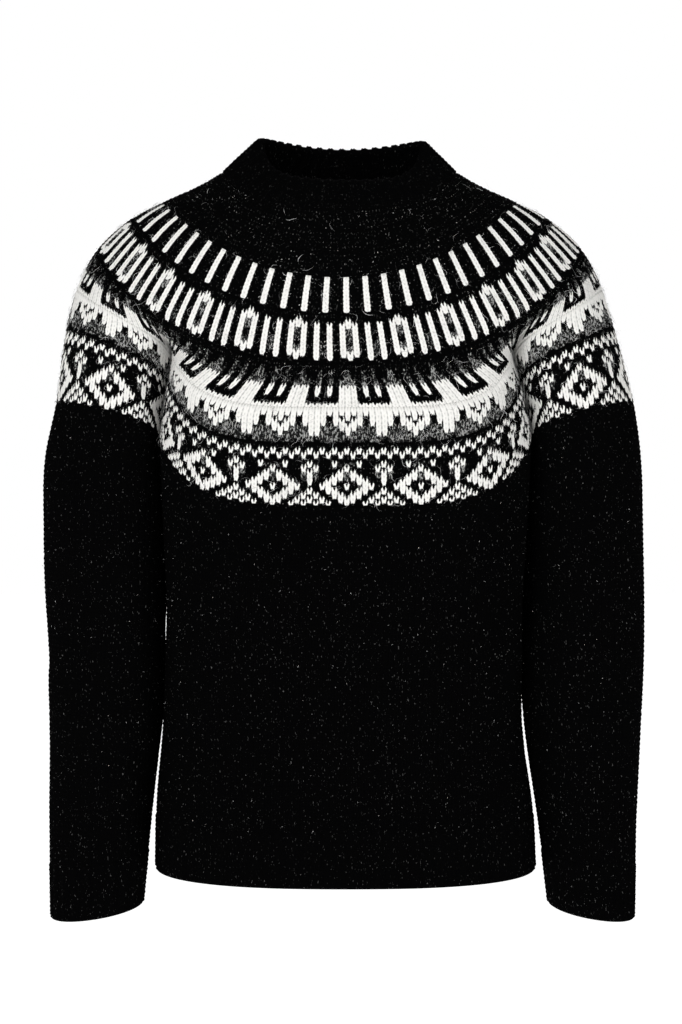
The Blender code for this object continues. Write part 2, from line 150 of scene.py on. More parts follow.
SLEEVE = {
    "right": {
        "columns": SLEEVE_COLUMN_NAMES,
        "rows": (
            (0.00, 0.2675, 0.1700, 0.0690, 0.0000),
            (0.10, 0.2780, 0.1670, 0.0680, 0.0000),
            (0.25, 0.2797, 0.1665, 0.0640, -0.0010),
            (0.50, 0.2757, 0.1670, 0.0570, -0.0040),
            (0.65, 0.2735, 0.1710, 0.0510, -0.0080),
            (0.80, 0.2735, 0.1785, 0.0440, -0.0130),
            (1.00, 0.2715, 0.1870, 0.0360, -0.0200),
        ),
    },
    "left": {
        "columns": SLEEVE_COLUMN_NAMES,
        "rows": (
            (0.00, 0.2675, 0.1700, 0.0690, 0.0000),
            (0.10, 0.2735, 0.1670, 0.0680, 0.0000),
            (0.25, 0.2757, 0.1650, 0.0640, -0.0010),
            (0.50, 0.2762, 0.1630, 0.0570, -0.0040),
            (0.65, 0.2725, 0.1668, 0.0510, -0.0080),
            (0.80, 0.2688, 0.1765, 0.0440, -0.0130),
            (1.00, 0.2660, 0.1870, 0.0360, -0.0200),
        ),
    },
}
SLEEVE_POWER = 2.1
SLEEVE_POWER_JOIN = 3.5  # of the inner side at the underarm, where it leaves the body
CUFF_INNER_Z = -0.677
CUFF_OUTER_Z = -0.690
CUFF_FRONT_DROP = 0.006
DIVIDE = {
    "columns": ("height", "right", "left", "room"),
    "rows": (
        (-0.700, 0.1830, 0.1820, 0.0040),
        (-0.600, 0.1785, 0.1755, 0.0030),
        (-0.540, 0.1725, 0.1660, 0.0026),
        (-0.500, 0.1680, 0.1630, 0.0018),
        (-0.400, 0.1650, 0.1625, 0.0018),
        (-0.300, 0.1680, 0.1675, 0.0014),
        (-0.257, 0.1702, 0.1702, 0.0003),
        (-0.200, 0.1702, 0.1702, 0.0003),
    ),
}
CREASE_START = 0.49  # where on the way down the yoke the crease of the armpit begins and is whole
CREASE_END = 0.72
FLAT_FRONT = 0.22  # how much flatter the lower rings run across the chest than round the sides
FLAT_END = 0.75  # where on the way to the underarm that ends
LEAN = -0.0056
LEAN_FROM_Z = -0.240
LEAN_TO_Z = -0.120
BODY_RIB_TOP = 1 - RIB_DEPTH / BODY_LENGTH
SLEEVE_RIB_TOP = 1 - RIB_DEPTH / SLEEVE_LENGTH
print(f"gauge: {0.1 / STITCH:.0f} stitches and {0.1 / ROW:.0f} rows to 10 cm")

# %% [markdown]
# ## Reading a table as a smooth curve
#
# Each table holds only the rings that matter. A cubic through its rows gives any ring between
# them, and `along` sets points out by their share of a curve's length, as stitches are set out
# evenly round a real piece.
# %% Curves
def smoothstep(x, start, end):
    share = np.clip((np.asarray(x, float) - start) / (end - start), 0.0, 1.0)
    return share * share * (3.0 - 2.0 * share)


def at(table, place):
    """The columns of a table at a place in its first one, on a smooth curve through its rows."""
    rows = np.array(table["rows"], float)
    knots = rows[:, 0]
    slopes = np.gradient(rows, knots, axis=0)
    row = int(np.clip(np.searchsorted(knots, place, side="right") - 1, 0, len(knots) - 2))
    step = knots[row + 1] - knots[row]
    share = (place - knots[row]) / step
    values = (
        rows[row] * (1 + 2 * share) * (1 - share) ** 2
        + slopes[row] * step * share * (1 - share) ** 2
        + rows[row + 1] * share**2 * (3 - 2 * share)
        + slopes[row + 1] * step * share**2 * (share - 1)
    )
    return dict(zip(table["columns"], values))


def along(points, shares):
    """Points of a curve at the given shares of its length."""
    steps = np.linalg.norm(np.diff(points, axis=0), axis=1)
    place = np.concatenate([[0.0], np.cumsum(steps)])
    place /= place[-1]
    return np.column_stack([np.interp(shares, place, column) for column in points.T])


def quarter(half_width, depth, power, last=0.5 * math.pi):
    """A superellipse from its centre front round towards its side, as x and depth."""
    angle = np.linspace(0.0, last, DENSE)
    across = half_width * np.sin(angle) ** (2 / power)
    inward = depth * np.maximum(np.cos(angle), 0.0) ** (2 / power)
    return np.column_stack([across, inward])


# %% [markdown]
# ## The rings of the yoke
#
# Seen from above, a ring is a superellipse, between an ellipse and a rounded box. It hangs lower
# at the chest than at the shoulders. Towards the underarm the ring gets a waist between body and
# arm, where the crease of the armpit opens.
# %% Rings of the yoke and the band
def body_arc(ring, face, power):
    """The body's edge from the centre of one face to the end of the underarm join."""
    depth = ring[face]
    last = math.acos((UNDERARM_REACH / depth) ** (power / 2))
    return quarter(ring["half_width"], depth, power, last)


def sleeve_join_reach(ring):
    return UNDERARM_REACH * ring["half_depth"] / SLEEVE["left"]["rows"][0][3]


def sleeve_arc(ring, inner_power):
    """Half of a sleeve's edge: from the end of the underarm join round to the outer side."""
    centre = (ring["outer_x"] + ring["inner_x"]) / 2
    reach = (ring["outer_x"] - ring["inner_x"]) / 2
    depth = ring["half_depth"]
    last = math.acos((sleeve_join_reach(ring) / depth) ** (inner_power / 2))
    inner = quarter(reach, depth, inner_power, last)[::-1]
    outer = quarter(reach, depth, SLEEVE_POWER)
    inner[:, 0] = centre - inner[:, 0]
    outer[:, 0] = centre + outer[:, 0]
    return np.concatenate([inner[:-1], outer])


def lobed_quarter(face, shares):
    """A quarter of the yoke's lower edge, which runs round the body and then the arm."""
    body = along(body_arc(at(BODY, 0.0), face, BODY_POWER_JOIN), shares / BODY_SHARE)
    arm_shares = (shares - BODY_SHARE) / (1 - BODY_SHARE)
    arm = along(sleeve_arc(at(SLEEVE["left"], 0.0), SLEEVE_POWER_JOIN), arm_shares)
    return np.where((shares <= BODY_SHARE)[:, None], body, arm)


def ring_height(ring, face, shares, crease):
    """The height of a ring over a quarter of its way round. It is level next to the underarm."""
    before = BODY_SHARE * (1 - LEVEL_BODY)
    after = BODY_SHARE + (1 - BODY_SHARE) * LEVEL_ARM
    landing = np.interp(shares, (0.0, before, after, 1.0), (0.0, BODY_SHARE, BODY_SHARE, 1.0))
    chest = np.clip(shares / BODY_SHARE, 0.0, FLAT_END) / FLAT_END
    landing = landing - FLAT_FRONT * BODY_SHARE * np.sin(math.pi * chest)
    eased = shares * (1 - crease) + landing * crease
    plan = along(quarter(ring["half_width"], ring[face], YOKE_POWER), eased)
    drop = (plan[:, 1] / ring[face]) ** ring["fall"]
    drop = drop * (1 + ring["ease"]) / (drop + ring["ease"])
    height = ring["side_z"] + (ring[face + "_z"] - ring["side_z"]) * drop
    arch = plan[:, 1] / ring[face]
    return height + ring.get(face + "_lift", 0.0) * 4 * arch * (1 - arch)


def edge_height(face, shares):
    return ring_height(at(YOKE, 1.0), face, shares, 1.0)


def underarm_height(depth, reach=UNDERARM_REACH):
    """The height of the underarm join between its front end and its back end."""
    share = (depth + reach) / (2 * reach)
    end = np.array([BODY_SHARE])
    level = edge_height("front", end) * (1 - share) + edge_height("back", end) * share
    return level - UNDERARM_SAG * np.sin(math.pi * share)


def leaning(points):
    points[:, 0] += LEAN * smoothstep(points[:, 2], LEAN_FROM_Z, LEAN_TO_Z)
    return points


def divide(points, side):
    """The line between sleeve and body at the height of each point, and half the room there."""
    rows = np.array(DIVIDE["rows"])
    column = DIVIDE["columns"].index(side)
    line = np.interp(points[:, 2], rows[:, 0], rows[:, column])
    room = np.interp(points[:, 2], rows[:, 0], rows[:, 3])
    return line, room / 2


def mirrored(half):
    """A closed ring from its half at +X, whose first and last point lie on the middle line."""
    return np.concatenate([half, half[::-1][1:-1] * (-1, 1, 1)])


def face_quarter(ring, face, shares, crease):
    """A quarter of a ring round the neck or yoke, in space."""
    plan = along(quarter(ring["half_width"], ring[face], YOKE_POWER), shares)
    if crease > 0.0:
        widest = at(YOKE, 1.0)
        scale = (ring["half_width"] / widest["half_width"], ring[face] / widest[face])
        plan = plan * (1 - crease) + lobed_quarter(face, shares) * scale * crease
    side = -1.0 if face == "front" else 1.0
    return np.column_stack([plan[:, 0], side * plan[:, 1], ring_height(ring, face, shares, crease)])


def round_ring(ring, shares, crease):
    front = face_quarter(ring, "front", shares, crease)
    back = face_quarter(ring, "back", shares, crease)
    return leaning(mirrored(np.concatenate([front, back[::-1][1:]])))


def yoke_ring(down):
    body = np.linspace(0.0, BODY_SHARE, BODY_COLUMNS + 1)
    arm = np.linspace(BODY_SHARE, 1.0, SLEEVE_COLUMNS + 1)
    crease = float(smoothstep(down, CREASE_START, CREASE_END))
    return round_ring(at(YOKE, down), np.concatenate([body, arm[1:]]), crease)


def band_ring(up):
    ring = round_ring(at(BAND, up), np.linspace(0.0, 1.0, BODY_COLUMNS + 1), 0.0)
    ring[:, 2] -= BAND_TILT * up * (ring[:, 0] + BAND["rows"][-1][1])
    ring[:, 0] += BAND_SHIFT * up
    return ring


# %% [markdown]
# ## The rings of the body and the sleeves
#
# These are plain tubes that hang from the lower edge of the yoke. Their upper edges follow it, and
# their rows even out on the way down, as cloth does that hangs from a curved seam.
# %% Rings of the tubes
def hang(top, bottom, down, rib_top):
    """The height on the way down from an upper edge to a hem, with a rib of even depth."""
    rib_z = bottom + RIB_DEPTH
    if down <= rib_top:
        return top + (rib_z - top) * down / rib_top
    return rib_z + (bottom - rib_z) * (down - rib_top) / (1 - rib_top)


def body_ring(down):
    """A ring of the body, from centre front by the left underarm to centre back and round."""
    ring = at(BODY, down)
    power = BODY_POWER + (BODY_POWER_JOIN - BODY_POWER) * (1 - down) ** 2
    shares = np.linspace(0.0, 1.0, BODY_COLUMNS + 1)
    faces = []
    for face, side in (("front", -1.0), ("back", 1.0)):
        plan = along(body_arc(ring, face, power), shares)
        top = edge_height(face, shares * BODY_SHARE) - SEAM_GAP
        bottom = HEM_Z["side"] + (HEM_Z[face] - HEM_Z["side"]) * plan[:, 1] / ring[face]
        height = hang(top, bottom, down, BODY_RIB_TOP)
        faces.append(np.column_stack([plan[:, 0], side * plan[:, 1], height]))
    depth = np.linspace(-UNDERARM_REACH, UNDERARM_REACH, JOIN_COLUMNS + 1)[1:-1]
    limit = np.where(depth < 0, ring["front"], ring["back"])
    width = ring["half_width"] * (1 - (np.abs(depth) / limit) ** power) ** (1 / power)
    bottom = np.full(len(depth), HEM_Z["side"])
    height = hang(underarm_height(depth) - SEAM_GAP, bottom, down, BODY_RIB_TOP)
    join = np.column_stack([width, depth, height])
    points = mirrored(np.concatenate([faces[0], join, faces[1][::-1]]))
    points[:, 0] += ring["centre_x"]
    points = leaning(points)
    left, room = divide(points, "left")
    right, room = divide(points, "right")
    points[:, 0] = np.clip(points[:, 0], room - right, left - room)
    return points


def sleeve_ring(side, down):
    """A ring of one sleeve: from the front end of the join by the outer side, and along the join."""
    ring = at(SLEEVE[side], down)
    join_reach = sleeve_join_reach(ring)
    inner_power = SLEEVE_POWER + (SLEEVE_POWER_JOIN - SLEEVE_POWER) * (1 - down) ** 2
    shares = np.linspace(0.0, 1.0, SLEEVE_COLUMNS + 1)
    arm_shares = BODY_SHARE + shares * (1 - BODY_SHARE)
    plan = along(sleeve_arc(ring, inner_power), shares)
    front = np.column_stack([plan[:, 0], -plan[:, 1], edge_height("front", arm_shares)])
    back = np.column_stack([plan, edge_height("back", arm_shares)])[::-1]
    depth = np.linspace(join_reach, -join_reach, JOIN_COLUMNS + 1)[1:-1]
    centre = (ring["outer_x"] + ring["inner_x"]) / 2
    reach = (ring["outer_x"] - ring["inner_x"]) / 2
    bow = (1 - (np.abs(depth) / ring["half_depth"]) ** inner_power) ** (1 / inner_power)
    join = np.column_stack([centre - reach * bow, depth, underarm_height(depth, join_reach)])
    points = np.concatenate([front, back[1:], join])
    across = (points[:, 0] - ring["inner_x"]) / (2 * reach)
    facing = np.clip(-points[:, 1] / ring["half_depth"], 0.0, 1.0)
    wrist = CUFF_INNER_Z + (CUFF_OUTER_Z - CUFF_INNER_Z) * across - CUFF_FRONT_DROP * facing
    points[:, 2] = hang(points[:, 2] - SEAM_GAP, wrist, down, SLEEVE_RIB_TOP)
    points[:, 1] += ring["centre_y"]
    line, room = divide(points, side)
    points[:, 0] = np.maximum(points[:, 0], line + room)
    if side == "right":
        points[:, 0] *= -1
    return leaning(points)


def left_sleeve_ring(down):
    return sleeve_ring("left", down)


def right_sleeve_ring(down):
    return sleeve_ring("right", down)[::-1]


# %% [markdown]
# ## Folds
#
# Worn cloth is never smooth. Each fold is a soft trough, with its own place, slant, length, width
# and depth, no two alike. Those below the armpits run down and outwards, and those at the elbows
# lie across the sleeve. The back has folds like the front's.
# %% Folds
FOLD_COLUMNS = ("around", "down", "slant", "length", "width", "depth")
FOLDS = {
    "body": (
        (0.855, 0.16, -34.0, 0.090, 0.024, 0.0040),
        (0.145, 0.19, 30.0, 0.075, 0.021, 0.0034),
        (0.935, 0.70, 9.0, 0.120, 0.032, 0.0030),
        (0.060, 0.62, -12.0, 0.100, 0.028, 0.0026),
        (0.175, 0.80, 5.0, 0.080, 0.024, 0.0032),
        (0.360, 0.16, -31.0, 0.085, 0.022, 0.0038),
        (0.635, 0.20, 27.0, 0.095, 0.025, 0.0036),
        (0.505, 0.52, 3.0, 0.140, 0.036, 0.0034),
        (0.430, 0.79, -9.0, 0.085, 0.027, 0.0026),
        (0.590, 0.71, 11.0, 0.110, 0.031, 0.0030),
        (0.895, 0.33, -21.0, 0.070, 0.014, 0.0020),
        (0.105, 0.38, 24.0, 0.055, 0.013, 0.0018),
        (0.800, 0.55, -6.0, 0.060, 0.015, 0.0022),
        (0.225, 0.47, 8.0, 0.050, 0.014, 0.0019),
        (0.310, 0.36, -18.0, 0.060, 0.015, 0.0021),
        (0.690, 0.41, 16.0, 0.055, 0.014, 0.0020),
    ),
    "sleeve_right": (
        (0.120, 0.17, -24.0, 0.070, 0.018, 0.0036),
        (0.160, 0.50, 58.0, 0.045, 0.020, 0.0034),
        (0.300, 0.86, 40.0, 0.050, 0.019, 0.0026),
        (0.700, 0.44, -52.0, 0.050, 0.021, 0.0038),
        (0.740, 0.82, -35.0, 0.060, 0.018, 0.0028),
        (0.230, 0.57, 66.0, 0.035, 0.011, 0.0020),
        (0.640, 0.53, -61.0, 0.034, 0.012, 0.0021),
        (0.880, 0.66, 20.0, 0.055, 0.012, 0.0018),
    ),
    "sleeve_left": (
        (0.125, 0.20, -20.0, 0.080, 0.019, 0.0032),
        (0.170, 0.57, 52.0, 0.050, 0.021, 0.0038),
        (0.260, 0.83, 44.0, 0.045, 0.018, 0.0028),
        (0.720, 0.49, -57.0, 0.048, 0.020, 0.0034),
        (0.680, 0.88, -30.0, 0.050, 0.018, 0.0024),
        (0.210, 0.48, 61.0, 0.036, 0.011, 0.0019),
        (0.650, 0.57, -64.0, 0.032, 0.012, 0.0022),
        (0.900, 0.70, 17.0, 0.050, 0.012, 0.0017),
    ),
}


def cloth_normals(rings):
    """The direction out of the cloth at each point of rings that run from top to bottom."""
    around = np.roll(rings, -1, axis=1) - np.roll(rings, 1, axis=1)
    normals = np.cross(np.gradient(rings, axis=0), around)
    return normals / np.linalg.norm(normals, axis=2)[:, :, None]


def folded(rings, folds):
    """Rings with their folds pressed in, which fade out towards both seams."""
    grid = np.array(rings)
    steps = np.linalg.norm(np.roll(grid, -1, axis=1) - grid, axis=2)
    girth = steps.sum(axis=1)[:, None]
    place = (np.cumsum(steps, axis=1) - steps) / girth
    share = np.linspace(0.0, 1.0, len(grid))[:, None]
    drop = share * (grid[0, :, 2] - grid[-1, :, 2]).mean()
    press = np.zeros(place.shape)
    for row in folds:
        fold = dict(zip(FOLD_COLUMNS, row))
        slant = math.radians(fold["slant"])
        beside = ((place - fold["around"] + 0.5) % 1.0 - 0.5) * girth
        below = drop - fold["down"] * drop[-1, 0]
        across = beside * math.cos(slant) - below * math.sin(slant)
        lengthwise = beside * math.sin(slant) + below * math.cos(slant)
        bell = np.exp(-((across / fold["width"]) ** 2) - (lengthwise / fold["length"]) ** 2)
        press += fold["depth"] * bell
    press *= np.sin(math.pi * share) ** 0.5
    return grid - cloth_normals(grid) * press[:, :, None]


folds_made = sum(len(rows) for rows in FOLDS.values())
print(f"{folds_made} folds, the deepest {max(r[5] for t in FOLDS.values() for r in t) * 1000:.1f} mm")

# %% [markdown]
# ## One stitch
#
# In stocking stitch each loop shows as a small V, and the Vs nest in upright columns. A stitch here
# has four faces across and two up. Its middle is moved down by part of a row, which makes the V,
# and its two legs stand out of the cloth. At the upper and lower edge of a piece the V flattens
# out, so that pieces meet on a clean line. No two stitches of a handmade fabric are the same size,
# so each has its own height.
#
# A rib alternates a knit column, which stands out, with a purl column, which sinks in and shows
# small level bumps.
# %% The relief of a stitch
FACES_ACROSS = 4
FACES_UP = 2
NEST = 0.90  # how far the middle of a stitch hangs down, in rows
LEG_PROFILE = np.array((-0.75, 0.55, -0.30, 0.55)) * 0.001
ROW_PROFILE = np.array((-0.30, 0.22)) * 0.001
KNIT_RAISE = 0.0007
PURL_LEVEL = -0.0010
PURL_BUMP = 0.0005
UNEVEN = 0.16  # how much stitches differ
EDGE_LEVEL = 0.0  # an edge lies at the level of the cloth itself
FADE_ROWS = 3  # lines of points over which the Vs begin at a lower edge
LOWEST = -0.00105  # the relief between two stitches and on top of a leg
HIGHEST = 0.00077
hand = np.random.default_rng(18)


def set_out(ring, stitches, turn):
    """A closed ring as evenly spaced stitch columns. Stitch 0 lies a turn's length from its start."""
    closed = np.concatenate([ring, ring[:1]])
    girth = np.linalg.norm(np.diff(closed, axis=0), axis=1).sum()
    columns = FACES_ACROSS * stitches
    places = (np.arange(columns) - FACES_ACROSS / 2) / columns
    return along(closed, (places + turn / girth) % 1.0)


def nested(grid, knit):
    """Moves the middle of each knit stitch down along the cloth. Row 0 of the grid is the lowest."""
    rows, columns = grid.shape[:2]
    row = np.arange(rows)
    fade = np.clip(np.minimum(row / FADE_ROWS, rows - 1 - row), 0.0, 1.0)
    across = 1 - np.abs(2 * (np.arange(columns) % FACES_ACROSS) / FACES_ACROSS - 1)
    place = row[:, None] - FACES_UP * NEST * fade[:, None] * (across * knit)[None, :]
    low = np.clip(np.floor(place).astype(int), 0, rows - 2)
    part = (place - low)[:, :, None]
    column = np.arange(columns)[None, :]
    return grid[low, column] * (1 - part) + grid[low + 1, column] * part


def relief(rows, columns, knit, ribbed):
    """How far each point of the grid stands out of the cloth."""
    row = np.arange(rows)[:, None]
    column = np.arange(columns)[None, :]
    legs = LEG_PROFILE[column % FACES_ACROSS] + ROW_PROFILE[row % FACES_UP]
    loops = hand.uniform(1 - UNEVEN, 1 + UNEVEN, (rows // FACES_UP + 1, columns // FACES_ACROSS))
    height = legs * loops[row // FACES_UP, column // FACES_ACROSS]
    if ribbed:
        purl = PURL_LEVEL + PURL_BUMP * (row % FACES_UP)
        height = np.where(knit[None, :] > 0, height + KNIT_RAISE, purl)
    return height


print(f"a stitch has {FACES_ACROSS * FACES_UP} faces and stands {LEG_PROFILE.max() * 1000:.2f} mm proud")

# %% [markdown]
# ## Colour, stitch by stitch
#
# A knitter reads colour from a chart, one sign for each stitch, with the row that is knitted last
# at the top. The same is done here. A sign gives two numbers, how white and how grey the stitch is.
# They are kept on the mesh's points as a colour attribute, and a point between two stitches gets
# the mean of both. The material then breaks that soft border up into fibres. A third number in the
# same attribute tells the material how far the point stands out of the cloth. From it the material
# rounds the white stitches and paints shade on the white between two stitches.
# %% Charts into tones
SIGNS = {"W": (1.0, 0.0), "g": (0.0, 1.0), "d": (0.0, 0.5), ".": (0.0, 0.0)}


def stitch_tones(chart, rows, stitches):
    """White and grey for each stitch. The chart repeats round the piece, centred on stitch 0."""
    if not chart:
        return np.zeros((rows, stitches, 2))
    repeat = len(chart[0])
    first = repeat // 2
    signs = np.array([[SIGNS[sign] for sign in line] for line in reversed(chart)])
    return signs[:, (np.arange(stitches) + first) % repeat]


def point_tones(tones):
    """The tones of stitches as tones of the grid's points."""
    rows, stitches = tones.shape[:2]
    padded = np.concatenate([tones[:1], tones, tones[-1:]])
    row = np.arange(FACES_UP * rows + 1)
    low = padded[(row + 1) // FACES_UP]
    high = padded[(row + 2) // FACES_UP]
    lines = (low + high) / 2
    column = np.arange(FACES_ACROSS * stitches)
    left = lines[:, ((column - 1) // FACES_ACROSS) % stitches]
    right = lines[:, column // FACES_ACROSS]
    return (left + right) / 2


# %% [markdown]
# ## From a grid to a piece of knitting
#
# Blender makes the grid of faces, and the points of the cloth are then laid on it in one step. The
# grid runs up the outside, over the upper edge and down the inside, and its borders are merged, so
# each piece is a closed thin wall. It keeps a tidy map for baking, because its rows and columns
# are one already.
# %% Knitting a piece
cloth = {}


def sheet_mesh(name, points, tones):
    rows, columns = points.shape[:2]
    build = bmesh.new()
    bmesh.ops.create_grid(build, x_segments=columns, y_segments=rows, size=1.0)
    mesh = bpy.data.meshes.new(name)
    build.to_mesh(mesh)
    build.free()
    place = np.empty(len(mesh.vertices) * 3, np.float32)
    mesh.vertices.foreach_get("co", place)
    place = (place.reshape(-1, 3)[:, :2] + 1) / 2 * (columns, rows)
    column, row = np.rint(place).astype(int).T
    corners = np.empty(len(mesh.loops), np.int32)
    mesh.loops.foreach_get("vertex_index", corners)
    flat = np.column_stack([column / columns, row / rows])[corners]
    mesh.uv_layers.new(name="OFBake").data.foreach_set("uv", flat.astype(np.float32).ravel())
    shades = np.zeros((len(column), 4), np.float32)
    shades[:, :3] = tones[row % rows, column % columns]
    yarn = mesh.color_attributes.new("yarn", "FLOAT_COLOR", "POINT")
    yarn.data.foreach_set("color", shades.ravel())
    laid = points[row % rows, column % columns].astype(np.float32)
    mesh.vertices.foreach_set("co", laid.ravel())
    build = bmesh.new()
    build.from_mesh(mesh)
    border = [corner for corner in build.verts if corner.is_boundary]
    bmesh.ops.remove_doubles(build, verts=border, dist=0.000001)
    build.to_mesh(mesh)
    build.free()
    mesh.shade_smooth()
    return mesh


def knit(name, node, slot, material, rings, stitches, chart=None, turn=0.0, ribbed=False, inside=2):
    form = np.array([set_out(ring, stitches, turn) for ring in rings])[::-1]
    rows, columns = form.shape[:2]
    normals = -cloth_normals(form)
    column = np.arange(columns) // FACES_ACROSS
    knitted = 1.0 - (column % 2) * ribbed
    bed = nested(form, knitted)
    height = relief(rows, columns, knitted, ribbed)
    # The relief as a share from low to high. The material rounds the white stitches with it, and paints
    # shade on white yarn where it is low.
    shade = (height - LOWEST) / (HIGHEST - LOWEST)
    height[0] = height[-1] = EDGE_LEVEL
    outer = bed + normals * height[:, :, None]
    lining = np.rint(np.linspace(rows - 1, 0, inside + 1)).astype(int)
    inner = form[lining] - normals[lining] * WALL
    tones = point_tones(stitch_tones(chart, rows // FACES_UP, stitches))
    points = np.concatenate([outer, inner])
    outside = np.dstack([tones, shade])
    lined = np.zeros((len(inner), columns, 3))
    mesh = sheet_mesh(name, points, np.concatenate([outside, lined]))
    piece = bpy.data.objects.new(name, mesh)
    bpy.context.scene.collection.objects.link(piece)
    mesh.materials.append(material)
    cloth[name] = (bed, normals, tones)
    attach(piece, "root")
    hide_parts(node)
    print(f"{name}: {stitches} stitches, {rows // FACES_UP} rows, {2 * len(mesh.polygons)} triangles")
    return piece


# %% [markdown]
# ## Writing a material as sums
#
# A node tree is easier to read as a formula. This small class holds a socket and turns the signs
# of Python into Math nodes. Its `node` method adds any other node: settings first, then inputs.
# %% Shader maths
class Shade:
    def __init__(self, tree, socket=None):
        self.tree = tree
        self.socket = socket

    def node(self, kind, output=0, settings=None, **inputs):
        made = self.tree.nodes.new(kind)
        for name, value in (settings or {}).items():
            setattr(made, name, value)
        for name, value in inputs.items():
            key = int(name[1:]) if name[1:].isdigit() else name.replace("_", " ")
            if isinstance(value, Shade):
                self.tree.links.new(value.socket, made.inputs[key])
            else:
                made.inputs[key].default_value = value
        return Shade(self.tree, made.outputs[output])

    def maths(self, operation, a, b):
        return self.node("ShaderNodeMath", settings={"operation": operation}, _0=a, _1=b)

    def __add__(self, other):
        return self.maths("ADD", self, other)

    def __sub__(self, other):
        return self.maths("SUBTRACT", self, other)

    def __rsub__(self, other):
        return self.maths("SUBTRACT", other, self)

    def __mul__(self, other):
        return self.maths("MULTIPLY", self, other)

    __radd__ = __add__
    __rmul__ = __mul__

    def ramp(self, start, end):
        """0 below start, 1 above end and smooth between them."""
        return self.node(
            "ShaderNodeMapRange",
            settings={"interpolation_type": "SMOOTHSTEP"},
            Value=self,
            From_Min=start,
            From_Max=end,
        )

    def noise(self, place, scale, detail=2.0, stretch=(1.0, 1.0, 1.0)):
        spot = self.node("ShaderNodeMapping", Vector=place, Scale=stretch)
        return self.node("ShaderNodeTexNoise", Vector=spot, Scale=scale, Detail=detail)

    def mixed(self, share, a, b):
        return self.node(
            "ShaderNodeMix", output=2, settings={"data_type": "RGBA"}, _0=share, _6=a, _7=b
        )


# %% [markdown]
# ## Wool
#
# The yarn is a hairy, lightly spun wool. White is a little warm, with painted shade on it between
# the stitches, grey is a mixture of light and dark fibres, and black has a stray pale fibre here and
# there. The black is far darker than real wool, which sends back about three hundredths of the
# light, because the photograph's own blacks are nearly empty. For another scene it can be raised.
# The borders between colours are ragged, because fibres of one colour lie over the next. Wool has no
# gloss, so it is rough with very little mirror light. Fine noise in the Bump node gives fibres that
# are smaller than the faces.
# %% Wool material
WHITE = (0.84, 0.83, 0.80, 1.0)
# Painted shade: the white yarn darkened where the relief sinks between two stitches.
WHITE_PAINTED_SHADE = (0.46, 0.455, 0.44, 1.0)  # between two stitches
GREY_LIGHT = (0.32, 0.32, 0.31, 1.0)
GREY_DARK = (0.008, 0.008, 0.008, 1.0)
BLACK = (0.0009, 0.0009, 0.0010, 1.0)  # real black wool is near 0.03
STRAY = (0.085, 0.085, 0.083, 1.0)
FIBRE_BUMP = 0.0004


def wool(name, stranded):
    material = bpy.data.materials.new(name)
    material.use_nodes = True
    tree = material.node_tree
    shader = tree.nodes["Principled BSDF"]
    start = Shade(tree)
    place = start.node("ShaderNodeTexCoord", output="Object")
    fibre = start.noise(place, 900.0, 3.0)
    stray = start.noise(place, 820.0, 2.0, (1.0, 1.0, 0.45)).ramp(0.67, 0.75)
    colour = start.mixed(stray, BLACK, STRAY)
    if stranded:
        yarn = start.node("ShaderNodeAttribute", settings={"attribute_name": "yarn"})
        apart = tree.nodes.new("ShaderNodeSeparateColor")
        tree.links.new(yarn.socket, apart.inputs[0])
        white = Shade(tree, apart.outputs[0])
        grey = Shade(tree, apart.outputs[1])
        level = Shade(tree, apart.outputs[2])
        ragged = start.noise(place, 760.0, 2.0)
        flecks = start.noise(place, 430.0, 3.0)
        hairs = start.noise(place, 700.0, 2.0, (1.0, 1.0, 0.5))
        greys = start.mixed(hairs.ramp(0.50, 0.61), GREY_DARK, GREY_LIGHT)
        # Painted shade: the white is darkened where the relief between two stitches is low.
        whites_with_painted_shade = start.mixed((level + (fibre - 0.5) * 0.6).ramp(0.05, 0.60), WHITE_PAINTED_SHADE, WHITE)
        colour = start.mixed((grey + (flecks - 0.5) * 1.5).ramp(0.36, 0.62), colour, greys)
        rounded = white + (level - 0.5) * 0.8 + (ragged - 0.5) * 0.7
        colour = start.mixed(rounded.ramp(0.40, 0.58), colour, whites_with_painted_shade)
    tree.links.new(colour.socket, shader.inputs["Base Color"])
    bump = start.node("ShaderNodeBump", Strength=0.9, Distance=FIBRE_BUMP, Height=fibre)
    tree.links.new(bump.socket, shader.inputs["Normal"])
    shader.inputs["Roughness"].default_value = 1.0
    shader.inputs["Specular IOR Level"].default_value = 0.015
    return material


yoke_wool = wool("yoke_wool", True)
black_wool = wool("black_wool", False)
rib_wool = wool("rib_wool", False)
print("materials:", yoke_wool.name, black_wool.name, rib_wool.name)

# %% [markdown]
# ## The yoke
#
# The yoke is worked from the underarm up, and loses stitches in a few rows on the way, so that it
# narrows to the neck. Each stretch between two such rows is a band with its own number of stitches
# and its own small repeat. The repeats are old and common ones: diamonds with a zigzag above them,
# a castellated white band, short bars, lozenges and rays. They are charted here.
# %% Charts of the yoke
DIAMONDS = (
    "............",
    "W.W.W.W.W.W.",
    ".W.W.W.W.W.W",
    "............",
    "Wd..WdddW..d",
    ".W....W....W",
    "Wg...WgW...g",
    "Wd..WWgWW..d",
    "W..WW...WW..",
    "..WW..W..WW.",
    "W..WW...WW..",
    ".W..WW.WW..W",
    "W.W..WWW..W.",
    ".W.W..W..W.W",
    "............",
)
TABS = (
    "WWWWWWWWWWW",
    "WW.W.W.W.WW",
    "WW.WW.WW.WW",
    "WdggWWWggdW",
    "WgggdWdgggW",
    "dggggggdggg",
    ".dgdd.dd.gd",
)
BARS = (
    "........",
    ".d..d..d",
    ".d..g..d",
    ".d.dgd.d",
    ".g.ggg.g",
    ".W.WWW.W",
    ".W.WWW.W",
    "...WWW..",
    "...WWW..",
    "WWWWWWWW",
)
